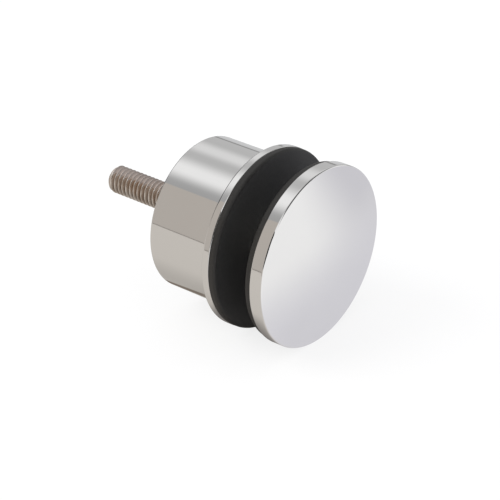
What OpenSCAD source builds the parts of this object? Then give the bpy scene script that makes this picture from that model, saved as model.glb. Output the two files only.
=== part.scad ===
// Glass panel standoff: a point fixing that holds a glass panel clear of a wall.
// A turned steel base, a barrel with a flange, screws onto a stud in the wall.
// A domed cap on a stud of its own screws into the base and clamps the glass
// between two rubber gaskets, and a nylon bush keeps the stud off the glass.
//
// The axis runs along Y: the wall is at y = 0, and the cap faces -Y.
// Behind the base the wall stud's thread is drawn as rings of the thread's own
// section, one pitch apart. Inside the part every thread is drawn plain, at its
// pitch diameter, which gives the studs and the metal round them their true mass.

/* [Cap] */
// Diameter of the cap
cap_d = 50.8; // [44:0.1:64]
// Depth of the cap's rim, from its back to the edge of its face
cap_rim_h = 4; // [3:0.1:8]
// Height of the domed face above its edge
cap_dome_h = 1.5; // [0.5:0.1:4]
// Radius of the rounded edge between the rim and the face
cap_edge_r = 0.4; // [0.1:0.05:0.8]
// Metal left between the stud's hole and the middle of the face
cap_wall = 1.5; // [1:0.1:2]

/* [Base] */
// Diameter of the barrel that stands on the wall
barrel_d = 43.2; // [30:0.1:46]
// Diameter of the flange that carries the glass
flange_d = 50.8; // [48:0.1:64]
// Thickness of the flange
flange_h = 2.4; // [1.5:0.1:5]
// Height of the whole base, from the wall to the front of the flange
base_h = 23.4; // [20:0.1:60]
// Chamfer that breaks the turned edges of the base and the cap
edge_break = 0.3; // [0.1:0.05:0.6]
// How much wider in radius than the thread the countersunk mouth of a tapped hole is
countersink = 0.2; // [0.15:0.05:0.5]

/* [Gaskets] */
// Thickness of each gasket
gasket_h = 2; // [1:0.1:4]
// Radius of the rounded edge beside the glass
gasket_edge_r = 0.8; // [0.2:0.1:0.9]
// How far the rear gasket's edge stands in from the flange's
rear_gasket_inset = 0.1; // [0:0.1:2]
// How far the front gasket's edge stands in from the cap's
front_gasket_inset = 0.5; // [0:0.1:2]
// Radial clearance of the front gasket and the bush around the cap's stud
stud_clearance = 0.3; // [0.2:0.05:0.6]
// Radial clearance of the rear gasket around the bush
bush_clearance = 0.3; // [0.2:0.05:0.6]

/* [Glass] */
// Space between the two gaskets, where the glass goes
glass_gap = 9.6; // [6:0.1:20]

/* [Bush] */
// Outside diameter of the bush, which the hole in the glass fits over
bush_d = 14; // [13:0.5:24]
// Free space between the bush and the flange, for tightening the cap
bush_end_gap = 0.6; // [0.6:0.1:1.5]
// Chamfer on the bush's outer edges
bush_chamfer = 0.5; // [0.2:0.1:1]

/* [Studs] */
// Outside diameter of the thread on both studs
thread_d = 7.94; // [6:0.01:9]
// Pitch of the thread
thread_pitch = 1.411; // [1:0.001:1.5]
// Free length of the wall stud behind the base
wall_stud_free_h = 31.75; // [15:0.25:80]
// Length of the cap's stud inside the base
cap_stud_grip = 12; // [8:0.5:13]
// Chamfer on the studs' ends
stud_chamfer = 0.9; // [0.3:0.1:1.2]
// How far the cap's stud can still be screwed in
tighten_travel = 0.5; // [0.5:0.1:1]
// Free space between the ends of the two studs once the cap is tightened
stud_end_gap = 0.5; // [0.3:0.1:2]
// Radial clearance of a stud in its tapped hole, where both are drawn plain
thread_clearance = 0.05; // [0.03:0.01:0.1]

/* [Hidden] */

cap_r = cap_d / 2;
barrel_r = barrel_d / 2;
flange_r = flange_d / 2;
thread_r = thread_d / 2;
// A 60 degree thread's pitch diameter is this share of the pitch below its outside diameter
pitch_r = (thread_d - 0.6495 * thread_pitch) / 2;
tapped_r = pitch_r + thread_clearance;
mouth_r = thread_r + countersink;
mouth_depth = mouth_r - tapped_r;
// The thread's depth and its flat crest and root are shares of the pitch too
thread_depth = 0.5413 * thread_pitch;
crest_flat = thread_pitch / 8;
root_flat = thread_pitch / 4;
flank = (thread_pitch - crest_flat - root_flat) / 2;
bush_r = bush_d / 2;
stud_passage_r = thread_r + stud_clearance;

// Places along the axis, from the wall to the cap
flange_front_y = -base_h;
flange_rear_y = flange_front_y + flange_h;
rear_gasket_y = flange_front_y - gasket_h;
front_gasket_y = rear_gasket_y - glass_gap;
cap_back_y = front_gasket_y - gasket_h;
cap_edge_y = cap_back_y - cap_rim_h;
cap_top_y = cap_edge_y - cap_dome_h;
cap_hole_end_y = cap_top_y + cap_wall;
cap_stud_end_y = flange_front_y + cap_stud_grip;
wall_stud_end_y = cap_stud_end_y + tighten_travel + stud_end_gap;
bush_end_y = flange_front_y - bush_end_gap;

// The domed face is part of a ball that meets the rim at the cap's edge
dome_r = (pow(cap_r, 2) + pow(cap_dome_h, 2)) / (2 * cap_dome_h);
dome_centre = [0, cap_top_y + dome_r];
// The rounded edge touches the rim and the dome from inside
edge_x = cap_r - cap_edge_r;
edge_centre = [edge_x, dome_centre.y - sqrt(pow(dome_r - cap_edge_r, 2) - pow(edge_x, 2))];
edge_direction = (edge_centre - dome_centre) / (dome_r - cap_edge_r);
// Room by which a cut passes the face that it cuts
over = 1;

// Turns a profile about the axis: its points are [radius, y].
module turned() rotate([-90, 0, 0]) rotate_extrude($fn = 180) children();

// A ring's section between two places on the axis.
module ring_profile(inner_r, outer_r, from_y, to_y)
    translate([inner_r, min(from_y, to_y)]) square([outer_r - inner_r, abs(to_y - from_y)]);

// What is cut off the cap's front corner to leave its rounded edge.
module cap_corner_profile() difference() {
    polygon([
        edge_centre,
        edge_centre + [cap_edge_r + over, 0],
        [edge_x + cap_edge_r + over, cap_top_y - over],
        edge_centre + (cap_edge_r + over) * edge_direction
    ]);
    translate(edge_centre) circle(r = cap_edge_r, $fn = 48);
}

// The gasket's section: metal_y is its face on the metal, and the other face,
// beside the glass, has a rounded outer edge.
module gasket_profile(hole_r, outer_r, metal_y, glass_y) {
    inward = sign(metal_y - glass_y);
    round_centre = [outer_r - gasket_edge_r, glass_y + inward * gasket_edge_r];
    difference() {
        ring_profile(hole_r, outer_r, metal_y, glass_y);
        difference() {
            ring_profile(round_centre.x, outer_r + over, round_centre.y, glass_y - inward * over);
            translate(round_centre) circle(r = gasket_edge_r, $fn = 48);
        }
    }
}

// What is cut off the end of a rod to leave its chamfer.
module rod_end_profile(rod_r, end_y) polygon([
    [rod_r - stud_chamfer - over, end_y + over],
    [rod_r + over, end_y - stud_chamfer - over],
    [rod_r + over, end_y + over]
]);

// The outline of a thread's grooves, one after the other from y = 0 to a rod's end.
function thread_grooves(end_y) = [
    for (i = [0:floor(end_y / thread_pitch) - 1])
        let (crest_y = i * thread_pitch, next_crest_y = crest_y + thread_pitch)
            each [
                [thread_r, crest_y + crest_flat],
                [thread_r - thread_depth, crest_y + crest_flat + flank],
                [thread_r - thread_depth, next_crest_y - flank],
                [thread_r, next_crest_y]
            ]
];

module wall_stud() color("rosybrown") turned() difference() {
    polygon([
        [0, wall_stud_end_y],
        [pitch_r, wall_stud_end_y],
        [pitch_r, 0],
        [thread_r, 0],
        each thread_grooves(wall_stud_free_h),
        [thread_r, wall_stud_free_h],
        [0, wall_stud_free_h]
    ]);
    rod_end_profile(thread_r, wall_stud_free_h);
}

module base_barrel() color("silver") turned() polygon([
    [mouth_r, flange_front_y],
    [flange_r - edge_break, flange_front_y],
    [flange_r, flange_front_y + edge_break],
    [flange_r, flange_rear_y - edge_break],
    [flange_r - edge_break, flange_rear_y],
    [barrel_r, flange_rear_y],
    [barrel_r, -edge_break],
    [barrel_r - edge_break, 0],
    [mouth_r, 0],
    [tapped_r, -mouth_depth],
    [tapped_r, flange_front_y + mouth_depth]
]);

module rear_gasket() color("dimgray") turned() gasket_profile(
    bush_r + bush_clearance, flange_r - rear_gasket_inset, flange_front_y, rear_gasket_y
);

module glass_bush() color("whitesmoke") turned() polygon([
    [stud_passage_r, front_gasket_y],
    [bush_r - bush_chamfer, front_gasket_y],
    [bush_r, front_gasket_y + bush_chamfer],
    [bush_r, bush_end_y - bush_chamfer],
    [bush_r - bush_chamfer, bush_end_y],
    [stud_passage_r, bush_end_y]
]);

module front_gasket() color("dimgray") turned() gasket_profile(
    stud_passage_r, cap_r - front_gasket_inset, cap_back_y, front_gasket_y
);

module cap() color("gainsboro") turned() difference() {
    intersection() {
        ring_profile(0, cap_r, cap_top_y, cap_back_y);
        translate(dome_centre) circle(r = dome_r, $fn = 720);
    }
    cap_corner_profile();
    // The broken edge at the back
    polygon([
        [cap_r - edge_break, cap_back_y],
        [cap_r + over, cap_back_y - edge_break - over],
        [cap_r + over, cap_back_y + over],
        [cap_r - edge_break - over, cap_back_y + over]
    ]);
    // The blind tapped hole and its countersunk mouth
    polygon([
        [0, cap_hole_end_y],
        [tapped_r, cap_hole_end_y],
        [tapped_r, cap_back_y - mouth_depth],
        [mouth_r, cap_back_y],
        [mouth_r, cap_back_y + over],
        [0, cap_back_y + over]
    ]);
}

module cap_stud() color("rosybrown") turned() difference() {
    ring_profile(0, pitch_r, cap_hole_end_y, cap_stud_end_y);
    rod_end_profile(pitch_r, cap_stud_end_y);
}

wall_stud();
base_barrel();
rear_gasket();
glass_bush();
front_gasket();
cap();
cap_stud();
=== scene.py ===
# %% [markdown]
# # A glass panel standoff, dressed for the camera
#
# A standoff holds a glass panel clear of a wall. A turned steel base screws onto
# a stud in the wall, and a domed cap on its own stud clamps the glass between two
# black rubber gaskets. The construction is already solved: the frame holds every
# piece at its real size, and this script only gives each one its finished surface.
# Nothing here moves or resizes a piece, so each new mesh is drawn from the sizes
# of the one that it stands for.

# %% Load the frame
import math

import bpy
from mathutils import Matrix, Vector


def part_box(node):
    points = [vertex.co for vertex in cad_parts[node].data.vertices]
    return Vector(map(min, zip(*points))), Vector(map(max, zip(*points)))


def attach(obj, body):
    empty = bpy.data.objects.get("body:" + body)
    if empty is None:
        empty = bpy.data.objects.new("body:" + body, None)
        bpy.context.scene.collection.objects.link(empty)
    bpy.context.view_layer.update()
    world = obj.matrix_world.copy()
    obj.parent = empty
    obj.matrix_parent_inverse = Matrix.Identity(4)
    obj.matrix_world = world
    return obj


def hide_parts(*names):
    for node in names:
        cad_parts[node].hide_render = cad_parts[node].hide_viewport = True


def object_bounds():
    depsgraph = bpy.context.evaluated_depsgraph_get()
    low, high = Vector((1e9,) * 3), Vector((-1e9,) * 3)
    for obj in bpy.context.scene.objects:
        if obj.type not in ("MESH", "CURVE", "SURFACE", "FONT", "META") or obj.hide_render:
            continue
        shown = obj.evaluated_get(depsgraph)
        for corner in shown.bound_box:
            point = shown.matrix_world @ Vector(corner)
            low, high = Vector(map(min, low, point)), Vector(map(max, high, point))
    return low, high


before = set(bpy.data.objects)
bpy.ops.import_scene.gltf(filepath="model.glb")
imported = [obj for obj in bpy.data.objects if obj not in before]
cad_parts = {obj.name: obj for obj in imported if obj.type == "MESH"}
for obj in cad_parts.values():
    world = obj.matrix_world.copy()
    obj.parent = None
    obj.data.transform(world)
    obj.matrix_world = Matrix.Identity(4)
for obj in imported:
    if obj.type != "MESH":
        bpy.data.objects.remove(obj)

MM = 0.001
cad_low, cad_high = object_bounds()
print("the frame measures", [round(size / MM, 2) for size in cad_high - cad_low], "mm")

# %% [markdown]
# ## The camera
#
# The standoff lies on its side with the wall stud pointing away to the left. The
# camera looks down on it past the cap, through a long lens from about half a
# metre, so that the round edges stay close to true ellipses. A camera is easiest
# to think of as a point to aim at, a distance and two angles, and turning those
# into a place is one line of trigonometry.

# %% Place the camera
camera_aim = Vector((0, -17, -6.2)) * MM
camera_distance = 542.5 * MM
camera_heading = math.radians(51.17)  # which way it looks, from +Y towards +X
camera_dip = math.radians(29.38)  # how far it looks down
camera_lens = 144  # millimetres, on a 36 mm sensor

level = math.cos(camera_dip)
looking = Vector((
    math.sin(camera_heading) * level, math.cos(camera_heading) * level, -math.sin(camera_dip)
))
camera = bpy.data.objects.new("camera", bpy.data.cameras.new("camera"))
camera.data.lens = camera_lens
camera.location = camera_aim - looking * camera_distance
camera.rotation_mode = "QUATERNION"
camera.rotation_quaternion = looking.to_track_quat("-Z", "Y")
bpy.context.scene.collection.objects.link(camera)
bpy.context.scene.camera = camera
bpy.context.scene.view_settings.view_transform = "Standard"
print("the camera stands at", [round(place / MM, 1) for place in camera.location], "mm")

# %% [markdown]
# ## Writing node trees as sums
#
# Materials, the world and the shapes that repeat are all trees of nodes. Wiring
# them by hand hides the idea, so a small class wraps an output socket and lets
# Python's own operators add the Math nodes: `1 - mask * 0.3` reads as what it does.
# Every other node comes from one function, which takes the node's type, then its
# settings, then the values or wires of its sockets. Settings go first because they
# decide which sockets the node has.

# %% Wrap the sockets
class Wire:
    """An output socket. Arithmetic on it adds Math nodes to its tree."""

    def __init__(self, socket):
        self.socket = socket

    def __getitem__(self, output):
        return Wire(pick(self.socket.node.outputs, output))

    def math(self, operation, first, second):
        return add_node(
            self.socket.id_data, "ShaderNodeMath", {"operation": operation}, {0: first, 1: second}
        )

    def __add__(self, other):
        return self.math("ADD", self, other)

    def __sub__(self, other):
        return self.math("SUBTRACT", self, other)

    def __rsub__(self, other):
        return self.math("SUBTRACT", other, self)

    def __mul__(self, other):
        return self.math("MULTIPLY", self, other)

    def __truediv__(self, other):
        return self.math("DIVIDE", self, other)

    __radd__ = __add__
    __rmul__ = __mul__


def pick(sockets, key):
    """The socket with this number, name or identifier."""
    if isinstance(key, int):
        return sockets[key]
    return next(s for s in sockets if s.enabled and key in (s.name, s.identifier))


def add_node(tree, kind, settings=None, sockets=None):
    """Adds any node: its settings are made first, then its sockets are set or linked."""
    node = tree.nodes.new(kind)
    for name, value in (settings or {}).items():
        setattr(node, name, value)
    for key, value in (sockets or {}).items():
        socket = pick(node.inputs, key)
        if isinstance(value, Wire):
            tree.links.new(value.socket, socket)
        else:
            socket.default_value = value
    outputs = [socket for socket in node.outputs if socket.enabled]
    return Wire(outputs[0]) if outputs else None


# %% Shorten the nodes that every tree needs
def rgba(colour):
    """A colour as a socket wants it."""
    return (*colour, 1)


def mix_colour(tree, share, first, second):
    """The first colour where the share is 0, the second where it is 1."""
    sockets = {"Factor": share, "A": first, "B": second}
    return add_node(tree, "ShaderNodeMix", {"data_type": "RGBA"}, sockets)


def soft_step(tree, value, start, end):
    """0 before the start, 1 after the end, and an eased slope between them."""
    sockets = {"Value": value, "From Min": start, "From Max": end}
    return add_node(tree, "ShaderNodeMapRange", {"interpolation_type": "SMOOTHSTEP"}, sockets)


def band(tree, value, rise, fall):
    """1 between the rise and the fall, each a start and an end, and 0 outside them."""
    return soft_step(tree, value, *rise) * (1 - soft_step(tree, value, *fall))


def separate(tree, vector):
    """The three parts of a vector, by name: X, Y and Z."""
    return add_node(tree, "ShaderNodeSeparateXYZ", {}, {"Vector": vector})


def combine(tree, x, y, z):
    """A vector from its three parts."""
    return add_node(tree, "ShaderNodeCombineXYZ", {}, {"X": x, "Y": y, "Z": z})


def noise(tree, place, scale, detail=2, roughness=0.5):
    """A smooth random value from 0 to 1; the scale counts blobs to the metre."""
    sockets = {"Vector": place, "Scale": scale, "Detail": detail, "Roughness": roughness}
    return add_node(tree, "ShaderNodeTexNoise", {}, sockets)


def angle_about_axis(tree, x, z):
    """The angle in degrees round the Y axis, 0 at +X, 90 straight up and 180 at -X."""
    return x.math("ARCTAN2", z, x) * (180 / math.pi)


def say_made(name, tree):
    """Prints how large a finished tree is."""
    print(name, "takes", len(tree.nodes), "nodes")


# %% [markdown]
# ## The studio
#
# Polished steel has almost no colour of its own: it shows the room. So the room is
# the most important part of this scene. It is a white tent with one broad light
# along its roof and a weaker one to the right of it. Between them it is plain grey,
# the wall on the left is darker, a thin dark gap lies low on the right, and the far
# end is dark. The lights run the same way as the standoff, so that the barrel
# shows them as long straight bands. The bands are the world's colour as a function
# of the angle round the Y axis, in degrees: 0 is to the right, 90 overhead and 180
# to the left. Each edge is a pair of angles, and the tone eases over between them.

# %% Make the tent
tent_grey = 0.56
roof_light = {"rise": (70, 93), "fall": (98, 118), "strength": 0.98}
side_light = {"rise": (26, 46), "fall": (50, 66), "strength": 0.82}
low_gap = {"rise": (0.5, 2), "fall": (4, 7), "strength": 0.3}
left_wall = {"rise": (102, 124), "strength": 0.42}
far_end = {"rise": (0.7, 0.8), "top": (0.45, 0.6), "strength": 0.05}  # on Y and Z, not angles

world = bpy.data.worlds.new("white_tent")
bpy.context.scene.world = world
world.use_nodes = True
room = world.node_tree
room.nodes.clear()

direction = separate(room, add_node(room, "ShaderNodeTexCoord")["Generated"])
around = angle_about_axis(room, direction["X"], direction["Z"])
on_the_left = soft_step(room, around, *left_wall["rise"])
back_half = tent_grey + (left_wall["strength"] - tent_grey) * on_the_left
for light in (roof_light, side_light, low_gap):
    inside = band(room, around, light["rise"], light["fall"])
    back_half = back_half + (light["strength"] - tent_grey) * inside
beyond = soft_step(room, direction["Y"], *far_end["rise"])
far = beyond * (1 - soft_step(room, direction["Z"], *far_end["top"]))
back_half = back_half + (far_end["strength"] - back_half) * far
print("the tent's tones run from", far_end["strength"], "to", roof_light["strength"])

# %% [markdown]
# The half of the room behind the camera is different. It is left dark above the
# lens, because a thin dark line along a polished edge is what tells the eye where
# one face ends and the next begins. A white panel on the left breaks that line,
# and the horizon stays pale.

# %% Darken the room behind the camera
dark_roof = {"rise": (14, 34), "fall": (104, 116), "strength": 0.12}
white_panel = 0.97
pale_horizon = 1.0
horizon_top = (0.12, 0.3)
front_edge = (-0.3, -0.05)

in_the_dark = band(room, around, dark_roof["rise"], dark_roof["fall"])
front_half = white_panel + (dark_roof["strength"] - white_panel) * in_the_dark
above_horizon = soft_step(room, direction["Z"], *horizon_top)
front_half = pale_horizon + (front_half - pale_horizon) * above_horizon
in_front = 1 - soft_step(room, direction["Y"], *front_edge)
studio = back_half + (front_half - back_half) * in_front
print("behind the camera the tones run from", dark_roof["strength"], "to", pale_horizon)

# %% [markdown]
# Each kind of ray gets its own room. Only mirror-like rays see the tent. Dull
# surfaces get an even light, brighter from above than from below, and the camera
# sees plain white.

# %% Show each kind of ray its room
low_light = (0.6, 0.6, 0.625)
high_light = (0.97, 0.97, 1.0)
low_to_high = (-0.1, 0.9)
plain_white = (1, 1, 1)


def from_a_mirror(rays):
    """1 for the rays that polished metal or clear glass sends out, otherwise 0."""
    return rays["Is Glossy Ray"] + rays["Is Transmission Ray"]


rays = add_node(room, "ShaderNodeLightPath")
upwards = soft_step(room, direction["Z"], *low_to_high)
even_light = mix_colour(room, upwards, rgba(low_light), rgba(high_light))
tent_tone = combine(room, studio, studio, studio)
seen = mix_colour(room, from_a_mirror(rays), even_light, tent_tone)
seen = mix_colour(room, rays["Is Camera Ray"], seen, rgba(plain_white))
background = add_node(room, "ShaderNodeBackground", {}, {"Color": seen})
add_node(room, "ShaderNodeOutputWorld", {}, {"Surface": background})
say_made("the studio", room)

# %% [markdown]
# ## The floor
#
# The floor is a sheet of paper. The cap's face mirrors the part of it just in
# front, and the barrel and the rims mirror the rest, so its tones matter even
# though the camera itself sees it as white. It is white far in front. Near the cap
# and a little to the right, the standoff's own soft shadow is painted on it as a
# lilac grey. To the left and behind it is a warmer grey. Each zone has one soft
# edge, which lies across a direction on the floor. The edges are in millimetres,
# as one would lay them out with a ruler.

# %% Prepare the stage
def flat_stage(name, corners, material):
    """A flat four-cornered piece of the studio, which isn't part of the standoff."""
    mesh = bpy.data.meshes.new(name)
    mesh.from_pydata(corners, [], [range(len(corners))])
    mesh.materials.append(material)
    piece = bpy.data.objects.new(name, mesh)
    bpy.context.scene.collection.objects.link(piece)
    return piece


def new_material(name):
    """An empty material, and its tree."""
    material = bpy.data.materials.new(name)
    material.use_nodes = True
    material.node_tree.nodes.clear()
    return material, material.node_tree


def in_metres(edge):
    """An edge's start and end, given in millimetres."""
    return [place * MM for place in edge]


# %% Tone the paper
white_paper = (0.985, 0.985, 0.985)
near_cap_painted_shadow = (0.8, 0.795, 0.84)
right_painted_shadow = (0.69, 0.685, 0.725)
warm_paper = (0.64, 0.605, 0.56)
near_edge = (-88, -48)
right_edge = (-19, 26)
right_direction = (0.81, 0.58)
right_share_near_cap = 0.5
warm_edge = (-32, -12)
warm_direction = (-0.6, 0.8)

paper, tree = new_material("floor_paper")
spot = separate(tree, add_node(tree, "ShaderNodeTexCoord")["Object"])
across, along = spot["X"], spot["Y"]


def towards(heading):
    """How far a spot on the floor lies from the middle, in this direction."""
    return across * heading[0] + along * heading[1]


# Painted shadow: the standoff's shadow near the cap and to its right, laid into the paper's colour
# as a lilac grey.
near_cap = soft_step(tree, along, *in_metres(near_edge))
paper_and_shade_tone = mix_colour(tree, near_cap, rgba(white_paper), rgba(near_cap_painted_shadow))
to_the_right = soft_step(tree, towards(right_direction), *in_metres(right_edge))
painted_shadow_share = to_the_right * (1 - right_share_near_cap * near_cap)
paper_and_shade_tone = mix_colour(tree, painted_shadow_share, paper_and_shade_tone, rgba(right_painted_shadow))
warmth = soft_step(tree, towards(warm_direction), *in_metres(warm_edge))
paper_and_shade_tone = mix_colour(tree, warmth, paper_and_shade_tone, rgba(warm_paper))
print("the paper's tones run from", warm_paper, "to", white_paper)

# %% [markdown]
# Beyond the standoff on the right the paper is dark, and further out a cool grey.
# The barrel and the rims show both along their far upper edge, as a thin dark line
# with a paler one beside it, which sets the steel off from the white behind.

# %% Cool the paper on the right
dark_paper = (0.3, 0.3, 0.3)
cool_paper = (0.62, 0.625, 0.63)
dark_edge = (80, 110)
cool_edge_across = (5, 30)
cool_edge_along = (-20, 10)

far_out = soft_step(tree, across, *in_metres(dark_edge))
far_right = mix_colour(tree, far_out, rgba(dark_paper), rgba(cool_paper))
beside = soft_step(tree, across, *in_metres(cool_edge_across))
coolness = beside * soft_step(tree, along, *in_metres(cool_edge_along))
paper_and_shade_tone = mix_colour(tree, coolness, paper_and_shade_tone, far_right)
print("the dark paper ends", dark_edge[0], "to", dark_edge[1], "mm to the right")

# %% [markdown]
# Under the standoff the paper darkens, as any surface does where something shuts
# the light out. A wide soft shade lies under the whole of it, and a dark oval round
# the place where the flange touches the floor. Under the barrel there is a narrow
# stripe on each side, and the barrel mirrors it as a dark line low down.

# %% Shade the paper
shade_share = 0.225
shade_edge_across = (13, 36)
shade_edge_along = (-41, -37)
under_paper = (0.22, 0.185, 0.155)
stripe_rise = (5, 8)
stripe_fall = (11, 12.6)
stripe_slant = 0.2
barrel_rise = (-12, -4)
barrel_fall = (8, 16)
contact_paper = (0.22, 0.205, 0.195)
contact_middle = 23 * MM  # this far in front of the wall
contact_half_width = 24 * MM
contact_half_length = 12 * MM
contact_edge = (0.85, 1.4)  # shares of the oval's size

sideways = across.math("ABSOLUTE", across, 0)
behind_face = soft_step(tree, along, *in_metres(shade_edge_along))
soft_shade = (1 - soft_step(tree, sideways, *in_metres(shade_edge_across))) * behind_face
paper_and_shade_tone = mix_colour(tree, soft_shade * shade_share, paper_and_shade_tone, rgba((0, 0, 0)))
under_barrel = band(tree, along, in_metres(barrel_rise), in_metres(barrel_fall))
slanted = sideways + along * stripe_slant
stripe = band(tree, slanted, in_metres(stripe_rise), in_metres(stripe_fall))
paper_and_shade_tone = mix_colour(tree, under_barrel * stripe, paper_and_shade_tone, rgba(under_paper))
oval = combine(
    tree, across / contact_half_width, (along + contact_middle) / contact_half_length, 0
)
from_contact = add_node(tree, "ShaderNodeVectorMath", {"operation": "LENGTH"}, {0: oval})["Value"]
contact = 1 - soft_step(tree, from_contact, *contact_edge)
paper_and_shade_tone = mix_colour(tree, contact, paper_and_shade_tone, rgba(contact_paper))
print("the shade under the standoff is", 2 * shade_edge_across[1], "mm wide")

# %% [markdown]
# The camera gets the paper lifted close to white, with a share of the real lit
# paper left in so that the standoff's shadow stays. Mirror-like rays see the tones
# above, also mostly without shadow.

# %% Lay the floor
floor_level = cad_low.z
floor_reach = 4  # metres each way
shadow_kept = 0.2
glow_in_mirrors = 0.8

rays = add_node(tree, "ShaderNodeLightPath")
paper_and_shade_tone = mix_colour(tree, rays["Is Camera Ray"], paper_and_shade_tone, rgba(plain_white))
lit_paper = add_node(tree, "ShaderNodeBsdfDiffuse", {}, {"Color": paper_and_shade_tone})
glow = add_node(tree, "ShaderNodeEmission", {}, {"Color": paper_and_shade_tone})
lift = rays["Is Camera Ray"] * (1 - shadow_kept) + from_a_mirror(rays) * glow_in_mirrors
shown = add_node(tree, "ShaderNodeMixShader", {}, {0: lift, 1: lit_paper, 2: glow})
add_node(tree, "ShaderNodeOutputMaterial", {}, {"Surface": shown})
flat_stage("floor", [
    (-floor_reach, -floor_reach, floor_level),
    (floor_reach, -floor_reach, floor_level),
    (floor_reach, floor_reach, floor_level),
    (-floor_reach, floor_reach, floor_level),
], paper)
say_made("the floor's paper", tree)

# %% [markdown]
# ## Card and flag
#
# To the left a beige card stands on the floor, and a painted shadow darkens its
# foot. Beside it, towards the camera, a black flag hangs a little above the floor.
# They are what the left side of the barrel and of both rims shows. Neither casts a
# shadow or shows to the camera: they are seen in the steel alone.

# %% Stand the card and hang the flag
# Places are in metres, and bottom and top are heights over the floor.
card = {"x": -0.24, "from_y": -0.052, "to_y": 0.8, "bottom": 0, "top": 0.36}
flag = {"x": -0.21, "from_y": -0.65, "to_y": -0.055, "bottom": 0.029, "top": 0.222}
card_tone = (0.52, 0.48, 0.44)
flag_tone = (0.02, 0.02, 0.02)
card_foot = 4.8 * MM
foot_edge = 1 * MM
foot_shade = 0.6


def glowing(name, colour, foot=0):
    """A stage surface that shows one colour, with a painted shadow a shade deeper up to its foot's
    height.
    """
    material, tree = new_material(name)
    height = separate(tree, add_node(tree, "ShaderNodeTexCoord")["Object"])["Z"] - floor_level
    above_foot = soft_step(tree, height, foot, foot + foot_edge)
    # The painted shadow along the foot, where the card meets the floor.
    darker = tuple(part * foot_shade for part in colour)
    tone = mix_colour(tree, above_foot, rgba(darker), rgba(colour))
    light = add_node(tree, "ShaderNodeEmission", {}, {"Color": tone})
    add_node(tree, "ShaderNodeOutputMaterial", {}, {"Surface": light})
    return material


def upright(name, material, x, from_y, to_y, bottom, top):
    """A panel that faces +X, between two heights over the floor, for reflections only."""
    piece = flat_stage(name, [
        (x, from_y, floor_level + bottom),
        (x, to_y, floor_level + bottom),
        (x, to_y, floor_level + top),
        (x, from_y, floor_level + top),
    ], material)
    piece.visible_camera = False
    piece.visible_diffuse = False
    piece.visible_shadow = False
    print("the", name, "is", round(to_y - from_y, 3), "by", round(top - bottom, 3), "m")


upright("card", glowing("beige_card", card_tone, card_foot), **card)
upright("flag", glowing("black_flag", flag_tone), **flag)

# %% [markdown]
# ## One soft lamp
#
# The tent lights everything evenly, and a broad lamp from the back left adds the
# rest. It gives the floor a soft shadow that falls towards the front right. A sun
# lamp with a wide angle does this without getting weaker across the floor. It is
# hidden from mirror-like rays, which already see the tent's own lights.

# %% Hang the lamp
lamp_from = Vector((-0.62, 0.55, 0.75))
lamp_strength = 1.3
lamp_width = math.radians(38)
lamp_colour = (1, 0.985, 0.94)

lamp = bpy.data.objects.new("soft_lamp", bpy.data.lights.new("soft_lamp", "SUN"))
lamp.data.energy = lamp_strength
lamp.data.angle = lamp_width
lamp.data.color = lamp_colour
lamp.rotation_mode = "QUATERNION"
lamp.rotation_quaternion = lamp_from.to_track_quat("Z", "Y")
lamp.visible_glossy = False
bpy.context.scene.collection.objects.link(lamp)
lamp_height = math.degrees(math.asin(lamp_from.normalized().z))
print("the lamp shines from", round(lamp_height), "degrees above the floor")

# %% [markdown]
# ## Polished steel
#
# The cap and the base are turned from stainless bar and buffed until they are
# mirrors. What is left of the work is faint: the buffing wheel leaves hair-fine
# rings round the axis, and handling leaves patches that are a shade duller. So the
# roughness is nearly nothing, with thin rings and slow clouds in it, and a very
# small bump follows the same rings. The rings are noise on two numbers, the
# distance from the axis and the place along it, which makes them run round every
# turned face, flat or curved.

# %% Prepare a finish
def axis_numbers(tree):
    """Where a point is, its distance from the Y axis, and its place along the axis."""
    place = add_node(tree, "ShaderNodeTexCoord")["Object"]
    parts = separate(tree, place)
    flat = combine(tree, parts["X"], 0, parts["Z"])
    radius = add_node(tree, "ShaderNodeVectorMath", {"operation": "LENGTH"}, {0: flat})["Value"]
    return place, radius, parts["Y"]


def surface(tree, sockets):
    """Ends a material in one Principled shader with these sockets."""
    shader = add_node(tree, "ShaderNodeBsdfPrincipled", {}, sockets)
    add_node(tree, "ShaderNodeOutputMaterial", {}, {"Surface": shader})


def bump(tree, height, depth, strength=1):
    """A small relief: the depth is the height of a full step, in metres."""
    sockets = {"Height": height, "Distance": depth, "Strength": strength}
    return add_node(tree, "ShaderNodeBump", {}, sockets)["Normal"]


# %% Make the polished steel
steel_light = (0.81, 0.805, 0.8)
steel_dark = (0.785, 0.78, 0.775)
buffed_roughness = 0.03
ring_roughness = 0.025
smear_roughness = 0.05
ring_relief = 0.00002 * MM

polished_steel, tree = new_material("polished_steel")
place, radius, along = axis_numbers(tree)
rings = noise(tree, combine(tree, radius, along, 0), scale=9000, detail=3)
clouds = noise(tree, place, scale=70, detail=3)
smears = noise(tree, place, scale=260, detail=4, roughness=0.6)
surface(tree, {
    "Base Color": mix_colour(tree, clouds, rgba(steel_dark), rgba(steel_light)),
    "Metallic": 1.0,
    "Roughness": buffed_roughness + rings * ring_roughness + clouds * smears * smear_roughness,
    "Normal": bump(tree, rings, ring_relief),
})
say_made("the polished steel", tree)

# %% [markdown]
# ## Dull threaded steel
#
# The studs are rolled stainless thread and nobody polishes them. The crests are
# rubbed bright, the flanks are a warm grey, clean in some patches and dull in
# others, and the roots are a pale brown. Low on the stud the roots turn dark brown:
# partly oil and dirt, partly painted shade. The distance from the axis tells crest
# from root, so one number drives the colour and the roughness together. A fine
# grain breaks up the shine.

# %% Measure the thread
thread_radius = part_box("wall_stud")[1].x
stud_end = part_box("wall_stud")[1].y
thread_pitch = 1.411 * MM
thread_depth = 0.5413 * thread_pitch  # from crest to root, for a 60 degree thread
print("the thread is", round(2 * thread_radius / MM, 2), "mm across its crests")

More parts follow.
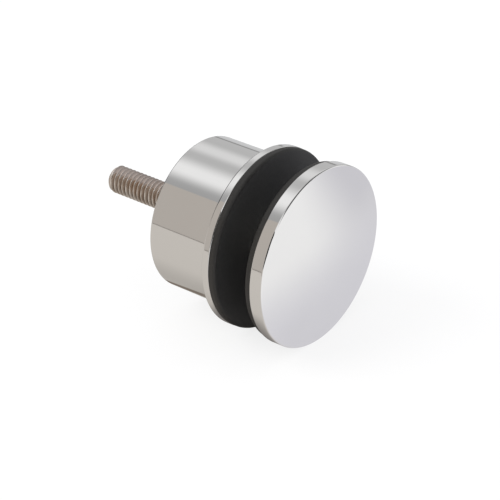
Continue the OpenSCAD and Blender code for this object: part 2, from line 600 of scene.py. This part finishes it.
# %% Find the crests, the patches and the stain
patch_edge = (0.35, 0.6)
underside_edge = (-2, 2.5)
stain_middle = (-2.5 * MM, 21.5 * MM, 2.5 * MM)
stain_edge = (1, 4.5)

threaded_steel, tree = new_material("threaded_steel")
place, radius, along = axis_numbers(tree)
height = separate(tree, place)["Z"]
crest = soft_step(tree, radius, thread_radius - thread_depth, thread_radius)
patches = noise(tree, place, scale=170, detail=4, roughness=0.65)
clean = soft_step(tree, patches, *patch_edge)
grain = noise(tree, place, scale=9000, detail=3)
underside = 1 - soft_step(tree, height, *in_metres(underside_edge))
from_stain = add_node(
    tree, "ShaderNodeVectorMath", {"operation": "DISTANCE"}, {0: place, 1: stain_middle}
)["Value"]
stained = 1 - soft_step(tree, from_stain, *in_metres(stain_edge))
print("one brown stain lies", round(stain_middle[1] / MM, 1), "mm from the base")

# %% Colour the flanks and the roots
dull_flank = (0.54, 0.43, 0.345)
clean_flank = (0.85, 0.785, 0.725)
stained_flank = (0.55, 0.39, 0.27)
upper_root = (0.6, 0.51, 0.44)
oil_and_shade_root = (0.19, 0.145, 0.115)
stained_root = (0.42, 0.28, 0.18)
flank_stain_share = 0.4
root_stain_share = 0.5

flank_tone = mix_colour(tree, clean, rgba(dull_flank), rgba(clean_flank))
flank_tone = mix_colour(tree, stained * flank_stain_share, flank_tone, rgba(stained_flank))
# Low on the stud the roots are painted dark: partly oil, partly painted shade.
root_tone = mix_colour(tree, underside, rgba(upper_root), rgba(oil_and_shade_root))
root_tone = mix_colour(tree, stained * root_stain_share, root_tone, rgba(stained_root))
thread_tone = mix_colour(tree, crest, root_tone, flank_tone)
print("the thread's tones run from", oil_and_shade_root, "to", clean_flank)

# %% [markdown]
# The cut end is bare and pale, and the very tops of the crests are rubbed. Along
# one line on the upper side a highlight is painted on the crests. Along the top,
# thicker towards the stud's end, a dull grey-brown film is painted over the metal
# and hides it; within it the roots are lighter than the crests, which flattens the
# thread's shading there.

# %% Rub the crests
bare_end = (0.92, 0.88, 0.84)
end_edge = (1.5, 0.9)  # millimetres before the stud's end
rubbed_crest = (0.87, 0.82, 0.785)
rubbed_share = 0.7
rubbed_edge = (0.12, 0.03)  # millimetres under the crest
painted_highlight_crest = (1, 0.98, 0.96)
shine_rise = (2.3, 2.6)
shine_fall = (2.85, 3)

at_end = soft_step(tree, along, *[stud_end - before for before in in_metres(end_edge)])
top = soft_step(tree, radius, *[thread_radius - under for under in in_metres(rubbed_edge)])
# A painted highlight: a band of height on the upper side where the crest tops are made bright.
shine = band(tree, height, in_metres(shine_rise), in_metres(shine_fall))
bare_tone = mix_colour(tree, at_end, thread_tone, rgba(bare_end))
bare_tone = mix_colour(tree, top * rubbed_share, bare_tone, rgba(rubbed_crest))
bare_tone = mix_colour(tree, top * shine, bare_tone, rgba(painted_highlight_crest))
print("the crests shine", shine_rise[0], "to", shine_fall[1], "mm above the axis")

# %% Lay the film and end the finish
film_root_tone = (0.52, 0.455, 0.415)
film_crest_tone = (0.32, 0.28, 0.255)
film_share = 0.92
film_edge = (2.6, 3.1)
thinnest_film = 0.45
film_thickens = (10, 20)
film_dullness = 0.95
thread_roughness = 0.4
crest_polish = 0.1
rubbed_polish = 0.18
grain_roughness = 0.1
film_roughness = 0.45
patch_relief = 2  # as a share of the grain's
grain_relief = 0.012 * MM

# A dull film is painted over the top, thicker towards the end; its roots are lighter than its
# crests, which flattens the thread's shading.
thickening = soft_step(tree, along, *in_metres(film_thickens))
thickness = thinnest_film + (1 - thinnest_film) * thickening
film = soft_step(tree, height, *in_metres(film_edge)) * thickness
film_tone = mix_colour(tree, crest, rgba(film_root_tone), rgba(film_crest_tone))
surface(tree, {
    "Base Color": mix_colour(tree, film * film_share, bare_tone, film_tone),
    "Metallic": 1 - film * film_dullness,
    "Roughness": (
        thread_roughness - crest * crest_polish - top * rubbed_polish
        + grain * grain_roughness + film * film_roughness
    ),
    "Normal": bump(tree, grain + clean * patch_relief, grain_relief),
})
say_made("the threaded steel", tree)

# %% [markdown]
# ## Black rubber
#
# The gaskets are cut from moulded rubber sheet. The black is never quite even: the
# surface has a fine pebble and a mottle, a faint bloom that greys it in patches,
# and specks of dust, and it is blackest at the rim. It reflects a little, most of
# all at a glancing angle, which is what makes the rounded edge read as a paler
# line. The shader's own gloss does that, so the colour stays close to black.

# %% Mottle the rubber
deep_rubber = (0.019, 0.018, 0.0175)
pale_rubber = (0.041, 0.04, 0.039)
mottle_edge = (0.3, 0.7)
bloom_tone = (0.034, 0.038, 0.037)
bloom_share = 0.5
rim_tone = (0.012, 0.01, 0.008)
rim_edge = (24.3, 24.8)
rim_share = 0.6

black_rubber, tree = new_material("black_rubber")
place, radius, along = axis_numbers(tree)
mottle = soft_step(tree, noise(tree, place, scale=1300, detail=3, roughness=0.6), *mottle_edge)
bloom = noise(tree, place, scale=130, detail=4, roughness=0.6)
at_rim = soft_step(tree, radius, *in_metres(rim_edge))
rubber_tone = mix_colour(tree, mottle, rgba(deep_rubber), rgba(pale_rubber))
rubber_tone = mix_colour(tree, bloom * bloom_share, rubber_tone, rgba(bloom_tone))
rubber_tone = mix_colour(tree, at_rim * rim_share, rubber_tone, rgba(rim_tone))
print("the rim is blackest more than", rim_edge[1], "mm from the axis")

# %% Pebble and dust it
speck_tone = (0.2, 0.19, 0.18)
speck_edge = (0.7, 0.78)
speck_share = 0.2
rubber_roughness = 0.42
bloom_roughness = 0.14
mottle_roughness = 0.1
rubber_gloss = 0.5
mottle_relief = 0.3  # as a share of the pebble's
pebble_relief = 0.02 * MM
pebble_strength = 0.7

pebble = noise(tree, place, scale=5200, detail=2)
specks = soft_step(tree, noise(tree, place, scale=2600, detail=1), *speck_edge)
surface(tree, {
    "Base Color": mix_colour(tree, specks * speck_share, rubber_tone, rgba(speck_tone)),
    "Roughness": rubber_roughness + bloom * bloom_roughness + mottle * mottle_roughness,
    "Specular IOR Level": rubber_gloss,
    "Normal": bump(tree, pebble + mottle * mottle_relief, pebble_relief, pebble_strength),
})
say_made("the rubber", tree)

# %% [markdown]
# ## Nylon
#
# The bush between the gaskets keeps the steel off the glass. It is turned from
# natural nylon rod: ivory, satin, a little waxy, with fine rings from the tool.

# %% Make the nylon
ivory_dark = (0.78, 0.765, 0.71)
ivory_light = (0.84, 0.83, 0.79)
nylon_roughness = 0.42
tool_roughness = 0.12
tool_relief = 0.01 * MM
waxiness = 0.12
waxy_reach = (0.002, 0.0018, 0.0015)  # metres, for red, green and blue light

nylon, tree = new_material("nylon")
place, radius, along = axis_numbers(tree)
tool_rings = noise(tree, combine(tree, radius, along, 0), scale=4200, detail=2)
tint = noise(tree, place, scale=240, detail=3)
surface(tree, {
    "Base Color": mix_colour(tree, tint, rgba(ivory_dark), rgba(ivory_light)),
    "Roughness": nylon_roughness + tool_rings * tool_roughness,
    "Normal": bump(tree, tool_rings, tool_relief),
    "Subsurface Weight": waxiness,
    "Subsurface Radius": waxy_reach,
})
say_made("the nylon", tree)

# %% [markdown]
# ## A lathe made of nodes
#
# Base, cap, gaskets and bush were all turned, so each is fully described by half of
# its section. The lathe below takes that outline as a row of points. It makes a
# grid with one column for each step round the axis, fetches the outline's point
# for each row, and turns it by the column's angle. The seam and the points on the
# axis are then merged, which closes the piece. A lathe beats a stack of cylinders
# because every arc in the outline stays an arc, and mirror steel shows the least
# kink.

# %% Prepare a tree
merging_distance = 1e-7  # metres: far less than any real gap


def new_tree(name, inputs):
    """A geometry node tree with one geometry in, one out, and these named inputs."""
    tree = bpy.data.node_groups.new(name, "GeometryNodeTree")
    tree.interface.new_socket("Geometry", in_out="INPUT", socket_type="NodeSocketGeometry")
    for label, kind in inputs.items():
        tree.interface.new_socket(label, in_out="INPUT", socket_type="NodeSocket" + kind)
    tree.interface.new_socket("Geometry", in_out="OUTPUT", socket_type="NodeSocketGeometry")
    return tree, add_node(tree, "NodeGroupInput")


def close_and_finish(tree, pieces, finish):
    """Merges what meets, makes it smooth, and ends the tree in its material."""
    sockets = {"Geometry": pieces, "Distance": merging_distance}
    merged = add_node(tree, "GeometryNodeMergeByDistance", {}, sockets)
    smooth = add_node(tree, "GeometryNodeSetShadeSmooth", {}, {"Geometry": merged})
    real = add_node(tree, "GeometryNodeRealizeInstances", {}, {"Geometry": smooth})
    done = add_node(tree, "GeometryNodeSetMaterial", {}, {"Geometry": real, "Material": finish})
    add_node(tree, "NodeGroupOutput", {}, {"Geometry": done})


def rows_and_columns(tree, row_count):
    """The row and the column of each point of a grid, counted from 0."""
    index = add_node(tree, "GeometryNodeInputIndex")
    row = index.math("MODULO", index, row_count)
    return row, (index - row) / row_count


# %% Build the lathe
lathe, given = new_tree("lathe", {"Steps Around": "Int", "Finish": "Material"})
counted = add_node(
    lathe, "GeometryNodeAttributeDomainSize", {"component": "MESH"}, {"Geometry": given["Geometry"]}
)
point_count = counted["Point Count"]
grid = add_node(lathe, "GeometryNodeMeshGrid", {}, {
    "Vertices X": given["Steps Around"] + 1, "Vertices Y": point_count,
})
row, column = rows_and_columns(lathe, point_count)
outline_place = add_node(lathe, "GeometryNodeInputPosition")
outline_point = add_node(
    lathe,
    "GeometryNodeSampleIndex",
    {"data_type": "FLOAT_VECTOR", "domain": "POINT"},
    {"Geometry": given["Geometry"], "Value": outline_place, "Index": row},
)
turned_point = add_node(
    lathe,
    "ShaderNodeVectorRotate",
    {"rotation_type": "Y_AXIS"},
    {"Vector": outline_point, "Angle": column / given["Steps Around"] * math.tau},
)
skin = add_node(lathe, "GeometryNodeSetPosition", {}, {"Geometry": grid, "Position": turned_point})
close_and_finish(lathe, skin, given["Finish"])
say_made("the lathe", lathe)

# %% [markdown]
# A modifier's inputs are found by their identifiers, because their names are only
# labels. The result is turned into a plain mesh at once and the modifier taken
# away, so each finished piece is ordinary geometry at the origin. Corners sharper
# than a limit are then marked, and all others shade smoothly.

# %% Run a tree and keep the plain mesh
sharp_corner = math.radians(32)


def made_by(tree, name, points, values):
    """Runs the tree on a row of points and returns the result as a plain piece."""
    mesh = bpy.data.meshes.new(name + "_start")
    mesh.from_pydata(points, [], [])
    piece = bpy.data.objects.new(name, mesh)
    bpy.context.scene.collection.objects.link(piece)
    modifier = piece.modifiers.new(tree.name, "NODES")
    modifier.node_group = tree
    for item in tree.interface.items_tree:
        if item.in_out == "INPUT" and item.name in values:
            modifier[item.identifier] = values[item.name]
    view_layer = bpy.context.evaluated_depsgraph_get()
    plain = bpy.data.meshes.new_from_object(piece.evaluated_get(view_layer))
    piece.modifiers.remove(modifier)
    piece.data = plain
    plain.name = name
    plain.set_sharp_from_angle(angle=sharp_corner)
    bpy.data.meshes.remove(mesh)
    plain.calc_loop_triangles()
    print(name, "has", len(plain.loop_triangles), "triangles")
    return piece


def dress(piece, body, node):
    """The piece rides on the body and stands for the frame's node."""
    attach(piece, body)
    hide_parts(node)


# %% [markdown]
# ## Outlines with rounded corners
#
# No turned edge is truly sharp, and on polished metal the tiny round at an edge is
# what catches the light. An outline here is a list of corners, each with the
# radius that rounds it. Beside each round an extra point holds the flat face
# flat: without it the smooth shading would bend the whole face towards the edge.

# %% Round the corners of an outline
arc_steps = 8
holding_distance = 0.05 * MM


def rounded(corners):
    """The outline's points, from (radius, place along the axis, rounding) corners."""
    points = []
    for number, (radius, place, rounding) in enumerate(corners):
        corner = Vector((radius, place))
        if not rounding:
            points.append(corner)
            continue
        before = (Vector(corners[number - 1][:2]) - corner).normalized()
        after = (Vector(corners[(number + 1) % len(corners)][:2]) - corner).normalized()
        half_angle = before.angle(after) / 2
        touch = rounding / math.tan(half_angle)
        centre = corner + (before + after).normalized() * (rounding / math.sin(half_angle))
        start = corner + before * touch
        end = corner + after * touch
        points.append(start + before * holding_distance)
        for step in range(arc_steps + 1):
            outwards = (start - centre).slerp(end - centre, step / arc_steps)
            points.append(centre + outwards.normalized() * rounding)
        points.append(end + after * holding_distance)
    return points


def turn(name, corners, finish, closed=True, steps=256):
    """Turns an outline on the lathe. A closed one ends where it began, as a ring does."""
    points = [(point.x, point.y, 0) for point in rounded(corners)]
    if closed:
        points.append(points[0])
    return made_by(lathe, name, points, {"Steps Around": steps, "Finish": finish})


# %% [markdown]
# ## The base
#
# A barrel stands on the wall and widens at the front to a flange that carries the
# glass. It is one turned piece with a tapped hole right through it. The outline
# starts at the hole's front mouth, goes out over the flange, back along the barrel
# and home through the hole. Its corners come from the frame's box and a few sizes.
# The hole is a close fit on the wall stud, which is locked in it. In front it is
# wide enough for the cap's stud to turn.

# %% Turn the base
base_low, base_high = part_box("base_barrel")
flange_radius = base_high.x
flange_front = base_low.y
wall_face = base_high.y
barrel_radius = 21.6 * MM
flange_depth = 2.4 * MM
flange_rear = flange_front + flange_depth
back_edge_round = 0.45 * MM
flange_front_round = 0.3 * MM
flange_rear_round = 0.6 * MM
inner_corner_round = 0.12 * MM
mouth_clearance = 0.2 * MM
turning_clearance = 0.05 * MM
locked_clearance = 0.02 * MM
locked_radius = thread_radius - 0.6495 * thread_pitch / 2  # a 60 degree thread's pitch line
hole_mouth_radius = thread_radius + mouth_clearance
turning_hole_radius = thread_radius + turning_clearance
locked_hole_radius = locked_radius + locked_clearance
hole_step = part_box("wall_stud")[0].y

base = turn("base_barrel_polished", [
    (hole_mouth_radius, flange_front, 0),
    (flange_radius, flange_front, flange_front_round),
    (flange_radius, flange_rear, flange_rear_round),
    (barrel_radius, flange_rear, inner_corner_round),
    (barrel_radius, wall_face, back_edge_round),
    (hole_mouth_radius, wall_face, 0),
    (locked_hole_radius, wall_face - hole_mouth_radius + locked_hole_radius, 0),
    (locked_hole_radius, hole_step, 0),
    (turning_hole_radius, hole_step, 0),
    (turning_hole_radius, flange_front + hole_mouth_radius - turning_hole_radius, 0),
], polished_steel)
dress(base, "base", "base_barrel")

# %% [markdown]
# ## The cap
#
# The cap is a thick disc whose face is a shallow dome, part of a large ball. The
# ball's radius follows from the dome's height and width. The dome is drawn as a
# few dozen short steps that meet the rim in a rounded edge of half a millimetre,
# and the hole for its stud is blind, so nothing shows in front.

# %% Turn the cap
cap_low, cap_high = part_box("cap")
cap_radius = cap_high.x
cap_top = cap_low.y
cap_back = cap_high.y
dome_height = 1.5 * MM
dome_steps = 40
dome_edge_round = 0.5 * MM
ball_radius = (cap_radius**2 + dome_height**2) / (2 * dome_height)
cap_hole_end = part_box("cap_stud")[0].y


def dome_place(radius):
    """Where the dome's surface is along the axis, at this distance from it."""
    return cap_top + ball_radius - math.sqrt(ball_radius**2 - radius**2)


dome_radii = [cap_radius * step / dome_steps for step in range(dome_steps)]
cap = turn("cap_polished", [
    *[(radius, dome_place(radius), 0) for radius in dome_radii],
    (cap_radius, dome_place(cap_radius), dome_edge_round),
    (cap_radius, cap_back, back_edge_round),
    (hole_mouth_radius, cap_back, 0),
    (locked_hole_radius, cap_back - hole_mouth_radius + locked_hole_radius, 0),
    (locked_hole_radius, cap_hole_end, 0),
    (0, cap_hole_end, 0),
], polished_steel, closed=False)
dress(cap, "cap", "cap")

# %% [markdown]
# ## The gaskets and the bush
#
# Each gasket lies flat on its metal and has a soft rounded edge beside the glass.
# The rear one is glued to the flange and is nearly as wide. The front one stands
# in a little under the cap. The nylon bush fills the hole in the glass, round the
# cap's stud, and its edges are chamfered so that the glass slips over it.

# %% Turn the gaskets
soft_edge = 0.85 * MM
cut_edge = 0.12 * MM
loose_fit = 0.3 * MM
bush_low, bush_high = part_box("glass_bush")
bush_radius = bush_high.x
stud_passage = thread_radius + loose_fit


def gasket(name, node, body, hole_radius, glass_in_front):
    """A rubber ring whose outer edge is rounded on the side of the glass."""
    low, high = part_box(node)
    front_round, rear_round = (soft_edge, cut_edge) if glass_in_front else (cut_edge, soft_edge)
    ring = turn(name, [
        (hole_radius, low.y, cut_edge),
        (high.x, low.y, front_round),
        (high.x, high.y, rear_round),
        (hole_radius, high.y, cut_edge),
    ], black_rubber)
    dress(ring, body, node)


gasket("rear_gasket_rubber", "rear_gasket", "base", bush_radius + loose_fit, glass_in_front=True)
gasket("front_gasket_rubber", "front_gasket", "clamp", stud_passage, glass_in_front=False)

# %% Turn the bush
bush_chamfer = 0.5 * MM
soft_corner = 0.08 * MM
bush = turn("glass_bush_nylon", [
    (stud_passage, bush_low.y, soft_corner),
    (bush_radius - bush_chamfer, bush_low.y, soft_corner),
    (bush_radius, bush_low.y + bush_chamfer, soft_corner),
    (bush_radius, bush_high.y - bush_chamfer, soft_corner),
    (bush_radius - bush_chamfer, bush_high.y, soft_corner),
    (stud_passage, bush_high.y, soft_corner),
], nylon, steps=160)
dress(bush, "clamp", "glass_bush")

# %% [markdown]
# ## The thread
#
# A screw thread is one ridge that climbs by its pitch in each turn. Think of a
# pleated sheet wound round a rod: its pleats run along the rows of a grid, and the
# sheet is sheared so that the end of one row meets the row one pitch further on.
# Every pleat is then one continuous helix, and its crest and root lie exactly on
# rows of points. The ends are made by holding the rows inside the stud's length,
# and a cone keeps the radius down there, which cuts the chamfer. Two discs close
# it. This follows the real rolled form, which rings around a rod would not.

# %% Build the thread's tree
rows_per_turn = 16

thread, given = new_tree("thread", {
    "Start": "Float",
    "End": "Float",
    "Crest Radius": "Float",
    "Pitch": "Float",
    "Depth": "Float",
    "Chamfer": "Float",
    "Locked Radius": "Float",
    "Hole Mouth": "Float",
    "Steps Around": "Int",
    "Finish": "Material",
})
start, end, pitch = given["Start"], given["End"], given["Pitch"]
steps_around = given["Steps Around"]
turn_count = (end - start) / pitch + 1
row_count = turn_count.math("CEIL", turn_count * rows_per_turn, 0) + 1
grid = add_node(thread, "GeometryNodeMeshGrid", {}, {
    "Vertices X": steps_around + 1, "Vertices Y": row_count,
})
row, column = rows_and_columns(thread, row_count)
turned = column / steps_around
unclipped = start + pitch * (row / rows_per_turn - 1 + turned)
along = unclipped.math("MINIMUM", unclipped.math("MAXIMUM", unclipped, start), end)
print("the ridge has", rows_per_turn, "rows of points to a turn")

# %% [markdown]
# Across one pitch the ridge is flat for an eighth at its crest, slopes down on both
# sides at 60 degrees to each other, and is flat again for a quarter at its root. A
# triangle wave with both tips cut off says just that. Where a stud is locked in its
# hole for good, it is drawn no wider than the hole.

# %% Shape the ridge
flat_crest = 1 / 8
flat_root = 1 / 4

pitches = row / rows_per_turn
past_root = pitches.math("FRACT", pitches, 0) - 0.5
from_root = 2 * past_root.math("ABSOLUTE", past_root, 0)
slope = add_node(thread, "ShaderNodeMapRange", {}, {
    "Value": 1 - from_root, "From Min": flat_crest, "From Max": 1 - flat_root,
})
ridge = given["Crest Radius"] - given["Depth"] * slope
end_radius = given["Crest Radius"] - given["Chamfer"]
cone_at_end = end_radius + (end - along)
cone_at_start = end_radius + (along - start)
past_mouth = along - given["Hole Mouth"]
free = past_mouth.math("GREATER_THAN", past_mouth, 0)
widest = given["Locked Radius"] + (given["Crest Radius"] - given["Locked Radius"]) * free
held = ridge.math("MINIMUM", ridge, widest)
held = held.math("MINIMUM", held, cone_at_end)
held = held.math("MINIMUM", held, cone_at_start)
angle = turned * math.tau
wound = combine(
    thread, held * angle.math("SINE", angle, 0), along, held * angle.math("COSINE", angle, 0)
)
skin = add_node(thread, "GeometryNodeSetPosition", {}, {"Geometry": grid, "Position": wound})
print("its crest is flat for", flat_crest, "and its root for", flat_root, "of the pitch")

# %% [markdown]
# The wound sheet is a tube, open at both ends. A flat disc closes each, as wide as
# the chamfer leaves it, and all three are merged into one closed rod.

# %% Close the ends
def end_disc(place, tilt):
    """Closes the stud with a flat disc that faces along the axis."""
    disc = add_node(
        thread,
        "GeometryNodeMeshCircle",
        {"fill_type": "NGON"},
        {"Vertices": steps_around, "Radius": end_radius},
    )
    return add_node(thread, "GeometryNodeTransform", {}, {
        "Geometry": disc, "Translation": combine(thread, 0, place, 0), "Rotation": (tilt, 0, 0),
    })


joined = thread.nodes.new("GeometryNodeJoinGeometry")
for part in (skin, end_disc(start, math.pi / 2), end_disc(end, -math.pi / 2)):
    thread.links.new(part.socket, joined.inputs[0])
close_and_finish(thread, Wire(joined.outputs[0]), given["Finish"])
say_made("the thread", thread)

# %% [markdown]
# The same tree winds both studs. The wall stud is screwed into the back of the base
# and locked there, and the cap's stud is fixed in the cap and turns in the base.
# Their ends come from the frame, and so does the mouth of the hole that each is
# locked in.

# %% Wind the two studs
stud_chamfer = 0.9 * MM
stud_steps = 96


def stud(name, node, body, hole_mouth):
    """A threaded rod in place of the frame's own."""
    low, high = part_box(node)
    piece = made_by(thread, name, [(0, 0, 0)], {
        "Start": low.y,
        "End": high.y,
        "Crest Radius": thread_radius,
        "Pitch": thread_pitch,
        "Depth": thread_depth,
        "Chamfer": stud_chamfer,
        "Locked Radius": locked_radius,
        "Hole Mouth": hole_mouth,
        "Steps Around": stud_steps,
        "Finish": threaded_steel,
    })
    dress(piece, body, node)


stud("wall_stud_threaded", "wall_stud", "base", wall_face)
stud("cap_stud_threaded", "cap_stud", "cap", cap_back)
